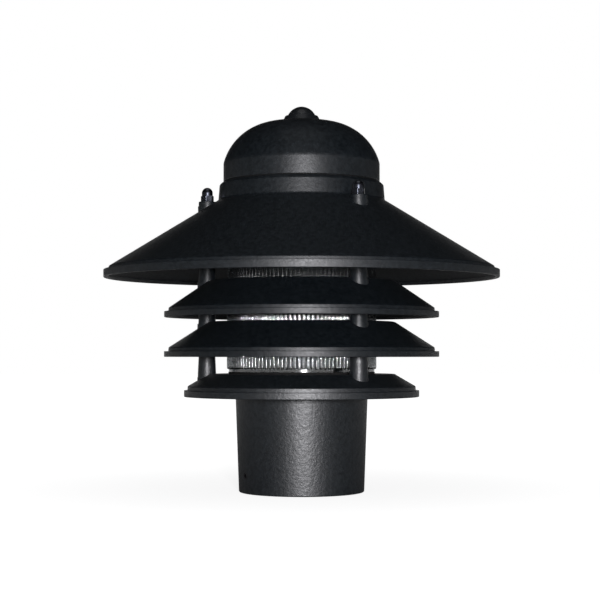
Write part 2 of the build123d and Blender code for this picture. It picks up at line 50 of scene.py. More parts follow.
# %% [markdown]
# ## Camera
# The photograph was taken from about a metre away, a little above the lowest louver, so the undersides of the
# upper rims show and the top of the bottom rim is just seen. A long lens keeps the rims' ellipses flat. The
# camera looks up by two degrees, which puts the horizon below the middle of the picture without any shift.

# %% Camera
CAMERA_PLACE = Vector((0, -1034 * MM, 92.5 * MM))
CAMERA_LENS = 91.65
SENSOR_WIDTH = 36
LOOK_UP = radians(2.03)
LOOK_LEFT = radians(0.06)

camera_data = bpy.data.cameras.new("camera")
camera_data.lens = CAMERA_LENS
camera_data.sensor_width = SENSOR_WIDTH
camera = bpy.data.objects.new("camera", camera_data)
scene.collection.objects.link(camera)
turn_to_front = Matrix.Rotation(LOOK_LEFT, 4, "Z") @ Matrix.Rotation(radians(90) + LOOK_UP, 4, "X")
camera.matrix_world = Matrix.Translation(CAMERA_PLACE) @ turn_to_front
scene.camera = camera
print("camera at", [round(v, 3) for v in camera.location])

# %% [markdown]
# ## Light
# The black finish shows one bright upright band down the middle of each round wall, so the main light stands
# close to the camera, a little above it and to its right. A wide soft panel overhead lifts the cones slightly
# out of black. Places and sizes here are in metres.

# %% Light
scene.view_settings.view_transform = "Standard"
MIDDLE = (0, 0, 0.12)


def soft_panel(name, place, size, power, color):
    """A round area light that faces the middle of the lantern."""
    lamp = bpy.data.lights.new(name, "AREA")
    lamp.shape = "DISK"
    lamp.size = size
    lamp.energy = power
    lamp.color = color
    panel = bpy.data.objects.new(name, lamp)
    direction = Vector(MIDDLE) - Vector(place)
    panel.matrix_world = Matrix.Translation(place) @ direction.to_track_quat("-Z", "Y").to_matrix().to_4x4()
    scene.collection.objects.link(panel)


soft_panel("front_light", place=(0.07, -1.08, 0.135), size=0.10, power=10.5, color=(0.975, 0.965, 1.0))
soft_panel("top_light", place=(0.0, -0.25, 1.3), size=0.9, power=0.6, color=(1.0, 1.0, 1.0))
print("lights:", len(bpy.data.lights))

# %% [markdown]
# ## White studio
# The rest is a studio with white paper behind the lantern and a dim room in front, as for any black product.
# Rays straight from the camera meet white everywhere. Mirrored rays and rays through glass meet the white
# paper behind and the dim room elsewhere, and the light that reaches the lantern stays moderate. The paper's
# edges are given as the share of a ray's direction that points straight back.

# %% White studio
PAPER_WHITE = 1.0
ROOM_DIM = 0.008
ROOM_GLASS = 0.02
ROOM_LIGHT = 0.20
MIRRORED_EDGE = (0.90, 0.99)
THROUGH_EDGE = (0.985, 0.9995)
# Places of the Mix node's sockets for plain numbers
MIX_FACTOR, MIX_FIRST, MIX_SECOND = 0, 2, 3


def float_mix(tree, factor, first, second):
    """Mixes two numbers, each a plain value or a socket, by a factor socket."""
    mix = tree.nodes.new("ShaderNodeMix")
    tree.links.new(factor, mix.inputs[MIX_FACTOR])
    for place, value in ((MIX_FIRST, first), (MIX_SECOND, second)):
        if isinstance(value, float):
            mix.inputs[place].default_value = value
        else:
            tree.links.new(value, mix.inputs[place])
    return mix.outputs[0]


def by_ray(tree, shown, through, mirrored, other):
    """A strength that depends on the ray: shown to the camera, through glass, mirrored, or lighting."""
    path = tree.nodes.new("ShaderNodeLightPath")
    rest = float_mix(tree, path.outputs["Is Glossy Ray"], other, mirrored)
    rest = float_mix(tree, path.outputs["Is Transmission Ray"], rest, through)
    return float_mix(tree, path.outputs["Is Camera Ray"], rest, shown)


def map_range(tree, value, span, levels, blend="SMOOTHSTEP"):
    """A number that goes from one level to another while a socket's value crosses a span."""
    step = tree.nodes.new("ShaderNodeMapRange")
    step.interpolation_type = blend
    step.inputs["From Min"].default_value, step.inputs["From Max"].default_value = span
    step.inputs["To Min"].default_value, step.inputs["To Max"].default_value = levels
    tree.links.new(value, step.inputs["Value"])
    return step.outputs["Result"]


world = bpy.data.worlds.new("white_studio")
scene.world = world
world.use_nodes = True
sky = world.node_tree
sky_way = sky.nodes.new("ShaderNodeTexCoord")
sky_split = sky.nodes.new("ShaderNodeSeparateXYZ")
sky.links.new(sky_way.outputs["Generated"], sky_split.inputs["Vector"])
paper_mirrored = map_range(sky, sky_split.outputs["Y"], MIRRORED_EDGE, (ROOM_DIM, PAPER_WHITE))
paper_through = map_range(sky, sky_split.outputs["Y"], THROUGH_EDGE, (ROOM_GLASS, PAPER_WHITE))
sky_strength = by_ray(sky, PAPER_WHITE, paper_through, paper_mirrored, ROOM_LIGHT)
background = sky.nodes["Background"]
background.inputs["Color"].default_value = (1, 1, 1, 1)
sky.links.new(sky_strength, background.inputs["Strength"])
print("world:", world.name)

# %% [markdown]
# ## Floor
# A plain pale floor under the fitter keeps the lantern's shadow. Far from the lantern it has to meet the
# white world without a line, so its own glow grows to white with the distance from the lantern's axis. Each
# kind of ray has its own glow near the lantern, and its own distances in metres between which it grows.

# %% Floor
FLOOR_RADIUS = 6.0
FLOOR_STEPS = 96
FLOOR_GREY = 0.45
SHOWN_NEAR, SHOWN_SPAN = 0.84, (0.05, 0.55)
MIRRORED_NEAR, MIRRORED_SPAN = 0.0, (0.6, 1.6)
THROUGH_NEAR, THROUGH_SPAN = 0.04, (0.7, 2.0)

floor_bm = bmesh.new()
bmesh.ops.create_circle(floor_bm, cap_ends=True, segments=FLOOR_STEPS, radius=FLOOR_RADIUS)
floor_mesh = bpy.data.meshes.new("floor")
floor_bm.to_mesh(floor_mesh)
floor_bm.free()
floor = bpy.data.objects.new("floor", floor_mesh)
scene.collection.objects.link(floor)
floor_material = bpy.data.materials.new("pale_floor")
floor_material.use_nodes = True
floor_tree = floor_material.node_tree
floor_tree.nodes.clear()
paper = floor_tree.nodes.new("ShaderNodeBsdfDiffuse")
paper.inputs["Color"].default_value = (FLOOR_GREY, FLOOR_GREY, FLOOR_GREY, 1)
floor_way = floor_tree.nodes.new("ShaderNodeTexCoord")
reach = floor_tree.nodes.new("ShaderNodeVectorMath")
reach.operation = "LENGTH"
floor_tree.links.new(floor_way.outputs["Object"], reach.inputs[0])
shown_glow = map_range(floor_tree, reach.outputs["Value"], SHOWN_SPAN, (SHOWN_NEAR, PAPER_WHITE))
mirrored_glow = map_range(floor_tree, reach.outputs["Value"], MIRRORED_SPAN, (MIRRORED_NEAR, PAPER_WHITE))
through_glow = map_range(floor_tree, reach.outputs["Value"], THROUGH_SPAN, (THROUGH_NEAR, PAPER_WHITE))
glow = floor_tree.nodes.new("ShaderNodeEmission")
floor_strength = by_ray(floor_tree, shown_glow, through_glow, mirrored_glow, 0.0)
floor_tree.links.new(floor_strength, glow.inputs["Strength"])
both = floor_tree.nodes.new("ShaderNodeAddShader")
floor_tree.links.new(paper.outputs["BSDF"], both.inputs[0])
floor_tree.links.new(glow.outputs["Emission"], both.inputs[1])
floor_out = floor_tree.nodes.new("ShaderNodeOutputMaterial")
floor_tree.links.new(both.outputs["Shader"], floor_out.inputs["Surface"])
floor.data.materials.append(floor_material)
print("floor radius in metres:", FLOOR_RADIUS)

# %% [markdown]
# ## Finishes
# Every finish is a Principled shader with procedural grain read in Object coordinates. A piece's object sits
# at the origin, so these coordinates are metres on the lantern, and a scale of 1000 gives grains of about a
# millimetre.

# %% Helpers for finishes


def new_finish(name, color, roughness, metallic=0.0):
    """A material with its Principled shader set to plain values."""
    material = bpy.data.materials.new(name)
    material.use_nodes = True
    shader = material.node_tree.nodes["Principled BSDF"]
    shader.inputs["Base Color"].default_value = (*color, 1)
    shader.inputs["Roughness"].default_value = roughness
    shader.inputs["Metallic"].default_value = metallic
    return material, shader


def grain(material, scale, detail=2.0, stretch=(1, 1, 1)):
    """A noise pattern in Object coordinates; scale is in grains per metre."""
    tree = material.node_tree
    way = tree.nodes.new("ShaderNodeTexCoord")
    mapping = tree.nodes.new("ShaderNodeMapping")
    mapping.inputs["Scale"].default_value = stretch
    noise = tree.nodes.new("ShaderNodeTexNoise")
    noise.inputs["Scale"].default_value = scale
    noise.inputs["Detail"].default_value = detail
    tree.links.new(way.outputs["Object"], mapping.inputs["Vector"])
    tree.links.new(mapping.outputs["Vector"], noise.inputs["Vector"])
    return noise.outputs["Fac"]


def vary_color(material, shader, pattern, dark, light, low=0.35, high=0.65):
    """Base colour that goes from dark to light with a pattern."""
    tree = material.node_tree
    ramp = tree.nodes.new("ShaderNodeValToRGB")
    ramp.color_ramp.elements[0].position = low
    ramp.color_ramp.elements[0].color = (*dark, 1)
    ramp.color_ramp.elements[1].position = high
    ramp.color_ramp.elements[1].color = (*light, 1)
    tree.links.new(pattern, ramp.inputs["Fac"])
    tree.links.new(ramp.outputs["Color"], shader.inputs["Base Color"])


def vary_roughness(material, shader, pattern, smooth, rough, low=0.3, high=0.7):
    """Roughness that goes from smooth to rough with a pattern."""
    tree = material.node_tree
    level = map_range(tree, pattern, (low, high), (smooth, rough), "LINEAR")
    tree.links.new(level, shader.inputs["Roughness"])


def raise_grain(material, shader, *layers):
    """Bump from several patterns, each with a depth in millimetres."""
    tree = material.node_tree
    normal = None
    for pattern, depth in layers:
        bump = tree.nodes.new("ShaderNodeBump")
        bump.inputs["Strength"].default_value = 1.0
        bump.inputs["Distance"].default_value = depth * MM
        tree.links.new(pattern, bump.inputs["Height"])
        if normal is not None:
            tree.links.new(normal, bump.inputs["Normal"])
        normal = bump.outputs["Normal"]
    tree.links.new(normal, shader.inputs["Normal"])


# %% [markdown]
# ### Black powder coat
# The castings are coated with a textured black powder. Close up it is a field of rounded grains a millimetre
# or two wide, which spread the light's reflection into a soft band and make it sparkle. The fitter's coat is
# the heavier and glossier one, as on the photograph, so the same recipe is used twice with different depths.

# %% Black powder coat
COAT_MEAN = (0.0040, 0.0062, 0.0085)
COAT_DARK = (0.0010, 0.0028, 0.0046)
COAT_LIGHT = (0.0078, 0.0110, 0.0138)
COAT_DUST = 0.03


def powder_coat(name, gloss, depth):
    """A black powder coat; gloss is its specular level and depth is how deep its grain is in millimetres."""
    material, shader = new_finish(name, COAT_MEAN, 0.46)
    shader.inputs["Specular IOR Level"].default_value = gloss
    vary_color(material, shader, grain(material, 380, 4), COAT_DARK, COAT_LIGHT)
    vary_roughness(material, shader, grain(material, 700, 3), 0.41, 0.51)
    coarse = (grain(material, 420, 2), depth)
    medium = (grain(material, 900, 2), depth / 2)
    fine = (grain(material, 2400, 2), COAT_DUST)
    raise_grain(material, shader, coarse, medium, fine)
    return material


fine_coat = powder_coat("fine_black_powder_coat", gloss=0.55, depth=0.10)
heavy_coat = powder_coat("heavy_black_powder_coat", gloss=0.95, depth=0.20)
print("coats:", fine_coat.name, heavy_coat.name)

# %% [markdown]
# ### Other finishes
# The finial is coated more smoothly than the castings, and the acorn nuts are plated in a glossy black.
# Rubber, zinc-plated steel, porcelain, brass and lamp glass are further in, and each has the grain that its
# surface really has: a mottled plating, a faint orange peel in the glaze, a dry uneven rubber.

# %% Other finishes
GLASS_IOR = 1.5

smooth_black, smooth_shader = new_finish("smooth_black", (0.009, 0.0105, 0.0120), 0.28)
vary_roughness(smooth_black, smooth_shader, grain(smooth_black, 300, 3), 0.25, 0.33)
smooth_shader.inputs["Specular IOR Level"].default_value = 0.8
raise_grain(smooth_black, smooth_shader, (grain(smooth_black, 900, 2), 0.02))

gloss_black, gloss_shader = new_finish("gloss_black", (0.11, 0.118, 0.145), 0.28, 1.0)
gloss_shader.inputs["Coat Weight"].default_value = 1.0
gloss_shader.inputs["Coat Roughness"].default_value = 0.08
vary_roughness(gloss_black, gloss_shader, grain(gloss_black, 400, 3), 0.24, 0.34)
raise_grain(gloss_black, gloss_shader, (grain(gloss_black, 700, 2), 0.012))

rubber, rubber_shader = new_finish("black_rubber", (0.006, 0.006, 0.006), 0.85)
vary_color(rubber, rubber_shader, grain(rubber, 220, 4), (0.004, 0.004, 0.004), (0.009, 0.009, 0.009))
rubber_shader.inputs["Specular IOR Level"].default_value = 0.25
raise_grain(rubber, rubber_shader, (grain(rubber, 1500, 2), 0.02))

zinc, zinc_shader = new_finish("zinc_plated_steel", (0.60, 0.61, 0.62), 0.34, 1.0)
vary_color(zinc, zinc_shader, grain(zinc, 160, 5), (0.50, 0.51, 0.53), (0.68, 0.69, 0.69))
vary_roughness(zinc, zinc_shader, grain(zinc, 500, 3), 0.26, 0.44)
raise_grain(zinc, zinc_shader, (grain(zinc, 1800, 2), 0.008))

dark_steel, dark_shader = new_finish("dark_oxide_steel", (0.075, 0.075, 0.080), 0.38, 1.0)
vary_color(dark_steel, dark_shader, grain(dark_steel, 400, 4), (0.05, 0.05, 0.055), (0.11, 0.11, 0.115))
raise_grain(dark_steel, dark_shader, (grain(dark_steel, 1800, 2), 0.008))

porcelain, porcelain_shader = new_finish("white_porcelain", (0.86, 0.85, 0.81), 0.16)
vary_color(porcelain, porcelain_shader, grain(porcelain, 90, 4), (0.83, 0.81, 0.77), (0.88, 0.87, 0.84))
raise_grain(porcelain, porcelain_shader, (grain(porcelain, 350, 2), 0.015))

brass, brass_shader = new_finish("brass", (0.72, 0.50, 0.20), 0.30, 1.0)
vary_color(brass, brass_shader, grain(brass, 260, 5), (0.60, 0.40, 0.15), (0.78, 0.57, 0.26))
vary_roughness(brass, brass_shader, grain(brass, 500, 3), 0.24, 0.40)

cap_metal, cap_metal_shader = new_finish("lamp_cap_aluminium", (0.72, 0.72, 0.73), 0.30, 1.0)
vary_roughness(cap_metal, cap_metal_shader, grain(cap_metal, 600, 3), 0.24, 0.40)
raise_grain(cap_metal, cap_metal_shader, (grain(cap_metal, 1500, 2), 0.006))

clear_glass, clear_shader = new_finish("clear_lamp_glass", (0.98, 0.99, 0.99), 0.02)
clear_shader.inputs["Transmission Weight"].default_value = 1.0
clear_shader.inputs["IOR"].default_value = GLASS_IOR
raise_grain(clear_glass, clear_shader, (grain(clear_glass, 90, 2), 0.03))

bushing_plastic, bushing_shader = new_finish("black_plastic", (0.020, 0.020, 0.021), 0.5)
vary_roughness(bushing_plastic, bushing_shader, grain(bushing_plastic, 800, 3), 0.44, 0.58)
raise_grain(bushing_plastic, bushing_shader, (grain(bushing_plastic, 1600, 2), 0.012))

green_dip, green_shader = new_finish("green_screw_finish", (0.06, 0.22, 0.09), 0.36, 0.6)
vary_color(green_dip, green_shader, grain(green_dip, 500, 4), (0.04, 0.17, 0.06), (0.08, 0.27, 0.12))
raise_grain(green_dip, green_shader, (grain(green_dip, 1500, 2), 0.008))
print("materials so far:", len(bpy.data.materials))

# %% [markdown]
# ### Lens glass
# The lens is pressed glass. Its grey tint is painted shade: it darkens whatever is seen through the lens,
# standing in for the dim room behind it. Its reeds are real geometry, so the material only has to be glass
# with the faint waviness that a press leaves, drawn out along the reeds. A thin coat stands for its weathered
# outer skin, which draws the front light's reflection out along each reed.

# %% Lens glass
PRESS_WAVES = (1, 1, 0.3)

# The grey base colour is painted shade for the dim room seen through the lens, not a tint of the glass
# itself.
lens_glass, lens_shader = new_finish("pressed_lens_glass", (0.63, 0.66, 0.68), 0.04)
lens_shader.inputs["Transmission Weight"].default_value = 1.0
lens_shader.inputs["IOR"].default_value = GLASS_IOR
lens_shader.inputs["Coat Weight"].default_value = 1.0
lens_shader.inputs["Coat Roughness"].default_value = 0.11
lens_shader.inputs["Coat IOR"].default_value = 1.8
raise_grain(lens_glass, lens_shader, (grain(lens_glass, 130, 2, PRESS_WAVES), 0.02))
print("lens glass:", lens_glass.name)

# %% [markdown]
# ## Building blocks
# Almost every piece of the lantern is turned or cast round an axis, so the main tool is spin: a wire of a few
# vertices, with its corners rounded by a vertex bevel, is turned once round. Spin with a step along the axis
# gives screw threads. The Boolean modifier joins posts to rings and drills holes, as casting and drilling do.

# %% Helpers for shapes
TURN_STEPS = 180
PIN_STEPS = 48
HOLE_STEPS = 32
SCREW_STEPS = 40
LAMP_STEPS = 96
WELD = 0.001 * MM
SLIVER = 0.0005 * MM
STEEL_SHARP = 30


def wire(*points):
    """A bmesh with a wire of straight runs through (radius, height) points in millimetres."""
    bm = bmesh.new()
    verts = [bm.verts.new((r * MM, 0, z * MM)) for r, z in points]
    for first, second in zip(verts, verts[1:]):
        bm.edges.new((first, second))
    return bm, verts


def close(bm, verts):
    """Joins the wire's last vertex to its first."""
    bm.edges.new((verts[-1], verts[0]))


def soften(bm, corners, size, segments=3):
    """Rounds corners of a wire; size is how far the round reaches along each run."""
    bmesh.ops.bevel(
        bm, geom=corners, offset=size * MM, offset_type="OFFSET", segments=segments, profile=0.5,
        affect="VERTICES", clamp_overlap=True, material=-1,
    )


def turn(bm, steps=TURN_STEPS):
    """Spins a wire once round the Z axis into a skin whose faces point outwards."""
    bmesh.ops.spin(
        bm, geom=bm.verts[:] + bm.edges[:], cent=(0, 0, 0), axis=(0, 0, 1), dvec=(0, 0, 0), angle=2 * pi,
        steps=steps, use_merge=True, use_normal_flip=False, use_duplicate=False,
    )
    bmesh.ops.remove_doubles(bm, verts=bm.verts, dist=WELD)
    bmesh.ops.dissolve_degenerate(bm, edges=bm.edges, dist=SLIVER)
    bmesh.ops.recalc_face_normals(bm, faces=bm.faces)
    return bm


def turned(points, rounds=(), steps=TURN_STEPS, closed=True):
    """A turned solid: points of its section, and rounds as (size, indices of corners)."""
    bm, verts = wire(*points)
    if closed:
        close(bm, verts)
    for size, corners in rounds:
        soften(bm, [verts[i] for i in corners], size)
    return turn(bm, steps)


def pin(radius, low, high, steps=PIN_STEPS):
    """A plain closed cylinder round the Z axis, in millimetres."""
    return turned([(0, low), (radius, low), (radius, high), (0, high)], steps=steps, closed=False)


def move(bm, x=0.0, y=0.0, z=0.0):
    """Shifts everything in a bmesh, in millimetres."""
    bmesh.ops.translate(bm, verts=bm.verts, vec=(x * MM, y * MM, z * MM))
    return bm


def rotate(bm, angle, axis="Z"):
    """Turns everything in a bmesh about an axis through the origin."""
    bmesh.ops.rotate(bm, verts=bm.verts, cent=(0, 0, 0), matrix=Matrix.Rotation(radians(angle), 3, axis))
    return bm


def copies_round(bm, count):
    """Repeats a bmesh round the Z axis at even steps."""
    bmesh.ops.spin(
        bm, geom=bm.verts[:] + bm.edges[:] + bm.faces[:], cent=(0, 0, 0), axis=(0, 0, 1), dvec=(0, 0, 0),
        angle=2 * pi * (count - 1) / count, steps=count - 1, use_merge=False, use_normal_flip=False,
        use_duplicate=True,
    )
    return bm


def combine(first, second, operation):
    """Joins, cuts or intersects two closed bmeshes with the Boolean modifier, and uses both up."""
    pair = []
    for bm in (first, second):
        mesh = bpy.data.meshes.new("work")
        bm.to_mesh(mesh)
        bm.free()
        work = bpy.data.objects.new("work", mesh)
        scene.collection.objects.link(work)
        pair.append(work)
    modifier = pair[0].modifiers.new("combine", "BOOLEAN")
    modifier.operation = operation
    modifier.solver = "EXACT"
    modifier.object = pair[1]
    mesh = bpy.data.meshes.new_from_object(pair[0].evaluated_get(bpy.context.evaluated_depsgraph_get()))
    result = bmesh.new()
    result.from_mesh(mesh)
    bmesh.ops.remove_doubles(result, verts=result.verts, dist=WELD)
    leftovers = [mesh] + [work.data for work in pair]
    for work in pair:
        bpy.data.objects.remove(work)
    for data in leftovers:
        bpy.data.meshes.remove(data)
    return result


def piece(name, bm, material, body, slot, *replaced, sharp=38):
    """Makes an object from a bmesh, smooths it, and puts it on its body in place of CAD nodes."""
    mesh = bpy.data.meshes.new(name)
    bm.to_mesh(mesh)
    bm.free()
    mesh.polygons.foreach_set("use_smooth", [True] * len(mesh.polygons))
    mesh.set_sharp_from_angle(angle=radians(sharp))
    mesh.materials.append(material)
    made = bpy.data.objects.new(name, mesh)
    scene.collection.objects.link(made)
    normals = made.modifiers.new("even_normals", "WEIGHTED_NORMAL")
    normals.keep_sharp = True
    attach(made, body)
    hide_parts(*replaced)
    print(name, len(mesh.polygons), "faces")


def steel_piece(name, bm, node):
    """A zinc-plated steel piece that stays on the lantern, in place of one CAD node."""
    piece(name, bm, zinc, "lantern", "zinc_steel", node, sharp=STEEL_SHARP)


# %% [markdown]
# ## Base casting
# The fitter tube, the plate and the lowest louver are one casting. Its section is drawn once and turned. The
# drafted posts that carry the next ring stand on it, with bosses under the plate for the rod nuts.

# %% Base casting
# A pair is the radius and height of a section's corner or, where its name says so, two ends along an axis.
ROD_CIRCLE = 63.9
ROD_ANGLE = -55
ROD_COUNT = 3
ROD_HOLE = 2.75
POST_TOP = 5.0
POST_DRAFT = tan(radians(2.5))
POST_EDGE = 0.4
BOSS_RADIUS = 6.5
SEAT_DROP = 9.4
SEAT_EDGE = 62.8
LOWER_TOP = 114.4
LOWER_RIM = 90.7
LOWER_POST_RISE = 18.3
UPPER_TOP = 142.1
UPPER_RIM = 117.4
UPPER_POST_RISE = 17.3
EDGE_ROUND = 0.45
SKIRT_RISE = 1.7
BASE_TOP = 79.2
PLATE_BOTTOM = 75.7
FITTER_FOOT = 42.2
FITTER_NECK = 45.04
POST_BORE = 38.5
POST_STOP = 62.0
STOP_BORE = 36.0
MOUTH_CHAMFER = 0.8
BASE_RADIUS = 79.3
BASE_RIM = 63.9
BASE_BAND = 68.2
BASE_LEDGE = 77.0
BASE_SHOULDER = (76.85, 71.0)
BASE_SKIRT = 76.7
LENS_SEAT = 46.1
LOWER_LIP = (44.3, 82.2)
NIPPLE_HOLE = 5.2
BASE_POST = 30.0
BASE_BOSS_ENDS = (70.5, 77.0)
BASE_DRILL_ENDS = (60, 120)
SET_SCREW_HOLE = 2.58
SET_SCREW_DRILL_ENDS = (34, 48)
SET_SCREW_HEIGHT = 12.0
SET_SCREW_ANGLE = -151


def at_rods(bm):
    """Puts a bmesh that stands on the Z axis at the places of the tie rods."""
    return copies_round(rotate(move(bm, x=ROD_CIRCLE), ROD_ANGLE), ROD_COUNT)


def add_at_rods(casting, shape):
    """Joins a shape to a casting at the places of the tie rods."""
    return combine(casting, at_rods(shape), "UNION")


def drill_rods(casting, low, high):
    """Drills the holes for the tie rods through a casting."""
    return combine(casting, at_rods(pin(ROD_HOLE, low, high)), "DIFFERENCE")


def stump(low, low_radius, high, high_radius, broken):
    """A post, pillar or boss; broken is the slightly rounded corner of its section, 1 below or 2 above."""
    section = [(0, low), (low_radius, low), (high_radius, high), (0, high)]
    return turned(section, [(POST_EDGE, [broken])], steps=PIN_STEPS, closed=False)


def post(top, length):
    """A drafted post that hangs down from its seat."""
    return stump(top - length, POST_TOP + length * POST_DRAFT, top, POST_TOP, broken=2)


base_section = [
    (POST_BORE + MOUTH_CHAMFER, 0), (FITTER_FOOT, 0), (FITTER_NECK, PLATE_BOTTOM), (SEAT_EDGE, PLATE_BOTTOM),
    (BASE_SKIRT, BASE_RIM + SKIRT_RISE), (BASE_SKIRT, BASE_RIM), (BASE_RADIUS, BASE_RIM),
    (BASE_RADIUS, BASE_BAND), (BASE_LEDGE, BASE_BAND), BASE_SHOULDER, (SEAT_EDGE, BASE_TOP),
    (LENS_SEAT, BASE_TOP), (LENS_SEAT, LOWER_LIP[1]), LOWER_LIP, (LOWER_LIP[0], BASE_TOP),
    (NIPPLE_HOLE, BASE_TOP), (NIPPLE_HOLE, PLATE_BOTTOM), (STOP_BORE, PLATE_BOTTOM), (STOP_BORE, POST_STOP),
    (POST_BORE, POST_STOP), (POST_BORE, MOUTH_CHAMFER),
]
base_rounds = [
    (0.8, [1]), (2.0, [2, 3]), (EDGE_ROUND, [5, 6, 9, 10]), (0.2, [7, 8]), (0.5, [12, 13]), (1.0, [17, 18]),
]
base = turned(base_section, base_rounds)
base = add_at_rods(base, post(LOWER_TOP - SEAT_DROP, BASE_POST))
base = add_at_rods(base, pin(BOSS_RADIUS, *BASE_BOSS_ENDS))
base = drill_rods(base, *BASE_DRILL_ENDS)
for angle in (SET_SCREW_ANGLE, SET_SCREW_ANGLE + 180):
    drill = rotate(pin(SET_SCREW_HOLE, *SET_SCREW_DRILL_ENDS, HOLE_STEPS), 90, "Y")
    base = combine(base, rotate(move(drill, z=SET_SCREW_HEIGHT), angle), "DIFFERENCE")
piece("base_casting", base, heavy_coat, "lantern", "black_casting", "base_fitter")

# %% [markdown]
# ## Louver rings
# Two rings of one pattern: a flat seat inside, a cone, and a stepped rim with an upright band at its edge.
# The lower ring's cone is a little flatter, as on the photograph.

# %% Louver rings
RING_RADIUS = 92.75
RING_BAND = 3.8
RING_LEDGE = 89.9
RING_SHOULDER = 89.75
RING_STEP = 6.3
RING_SKIRT = 90.15
RING_BORE = 54.5
RING_WALL = 3.2
POST_ROOT = 1.7
BOSS_ROOT = 1.6
DRILL_BELOW = 20
DRILL_ABOVE = 30


def louver(top, rim, post_rise):
    """A louver ring between two heights, with its posts above and its seats below."""
    under = top - RING_WALL
    section = [
        (RING_RADIUS, rim), (RING_RADIUS, rim + RING_BAND), (RING_LEDGE, rim + RING_BAND),
        (RING_SHOULDER, rim + RING_STEP), (SEAT_EDGE, top), (RING_BORE, top), (RING_BORE, under),
        (SEAT_EDGE, under), (RING_SKIRT, rim + SKIRT_RISE), (RING_SKIRT, rim),
    ]
    ring = turned(section, [(EDGE_ROUND, [0, 3, 5, 6, 9]), (0.2, [1, 2]), (1.2, [4, 7])])
    ring = add_at_rods(ring, post(top + post_rise, post_rise + POST_ROOT))
    ring = add_at_rods(ring, pin(BOSS_RADIUS, top - SEAT_DROP, top - BOSS_ROOT))
    return drill_rods(ring, top - DRILL_BELOW, top + DRILL_ABOVE)


lower_ring = louver(LOWER_TOP, LOWER_RIM, LOWER_POST_RISE)
piece("lower_louver_ring", lower_ring, fine_coat, "lantern", "black_casting", "lower_louver")
upper_ring = louver(UPPER_TOP, UPPER_RIM, UPPER_POST_RISE)
piece("upper_louver_ring", upper_ring, fine_coat, "lantern", "black_casting", "upper_louver")

# %% [markdown]
# ## Hood
# The hood is the widest casting: a cone that ends in a collar with a chamfered top. Inside, a flange holds
# the lens, and three pillars come down to the posts of the upper ring. The nuts sit on bosses that break
# through the cone beside the collar.

# %% Hood
HOOD_RADIUS = 133.35
HOOD_RIM = 143.9
HOOD_BAND = 148.9
HOOD_LEDGE = 130.0
HOOD_SHOULDER = (129.85, 151.1)
HOOD_SKIRT = (130.55, 146.3)
HOOD_STEPS = 216
COLLAR_FOOT = (56.4, 196.3)
COLLAR_EDGE = (55.6, 206.6)
COLLAR_RIM = 53.4
COLLAR_BORE = 51.3
COLLAR_TOP = 208.6
FLANGE_BOTTOM = 190.0
FLANGE_TOP = 193.5
FLANGE_EDGE = 60.7
UPPER_LIP = (44.0, 187.0)
HOOD_SEAT = UPPER_TOP + UPPER_POST_RISE
PILLAR_FOOT = 5.6
PILLAR_TOP = (6.3, 192.0)
NUT_SEAT = 195.2
NUT_BOSS_FOOT = (5.8, 188.5)
HOOD_DRILL_ENDS = (150, 200)

hood_section = [
    (HOOD_RADIUS, HOOD_RIM), (HOOD_RADIUS, HOOD_BAND), (HOOD_LEDGE, HOOD_BAND), HOOD_SHOULDER, COLLAR_FOOT,
    COLLAR_EDGE, (COLLAR_RIM, COLLAR_TOP), (COLLAR_BORE, COLLAR_TOP), (COLLAR_BORE, FLANGE_TOP),
    (UPPER_LIP[0], FLANGE_TOP), UPPER_LIP, (LENS_SEAT, UPPER_LIP[1]), (LENS_SEAT, FLANGE_BOTTOM),
    (FLANGE_EDGE, FLANGE_BOTTOM), HOOD_SKIRT, (HOOD_SKIRT[0], HOOD_RIM),
]
hood_rounds = [(EDGE_ROUND, [0, 3, 5, 6, 7, 15]), (0.25, [1, 2]), (0.8, [4]), (1.5, [13]), (1.0, [8])]
hood = turned(hood_section, hood_rounds, steps=HOOD_STEPS)
hood = add_at_rods(hood, stump(HOOD_SEAT, PILLAR_FOOT, PILLAR_TOP[1], PILLAR_TOP[0], broken=1))
hood = add_at_rods(hood, stump(NUT_BOSS_FOOT[1], NUT_BOSS_FOOT[0], NUT_SEAT, NUT_BOSS_FOOT[0], broken=2))
hood = drill_rods(hood, *HOOD_DRILL_ENDS)
piece("hood_casting", hood, fine_coat, "lantern", "black_casting", "hood")

# %% [markdown]
# ## Dome cap
# The cap's crown is one arc from the band to the flat under the finial. The arc is a vertex spun about the
# crown's own centre, outside and again inside, so that the wall keeps its thickness.

# %% Dome cap
CROWN_CENTRE = (16.42, 0, 212.07)
CROWN_TOP = 249.87
CROWN_UNDER = 247.27
CROWN_STEPS = 40
OUTER_SWEEP = 75.4
INNER_SWEEP = 74.87
STUD_HOLE = 3.4
CAP_RADIUS = 53.0
CAP_BAND_ENDS = (209.2, 221.6)
CAP_BORE = 50.4
SPIGOT_RADIUS = 51.0
SPIGOT_BORE = 48.6
SPIGOT_ENDS = (205.7, 211.8)
CAP_EDGE_ROUND = 0.4
CREASE_ROUND = 0.9


def swing(bm, vert, centre, angle, steps, axis=(0, -1, 0)):
    """Spins a wire's end vertex about a point in millimetres and gives the new end of the wire."""
    bmesh.ops.spin(
        bm, geom=[vert], cent=Vector(centre) * MM, axis=axis, dvec=(0, 0, 0), angle=radians(angle),
        steps=steps, use_merge=False, use_normal_flip=False, use_duplicate=False,
    )
    bm.verts.ensure_lookup_table()
    return bm.verts[-1]


def run_on(bm, vert, *points):
    """Carries a wire on from a vertex through more (radius, height) points."""
    made = []
    for r, z in points:
        following = bm.verts.new((r * MM, 0, z * MM))
        bm.edges.new((vert, following))
        made.append(following)
        vert = following
    return made


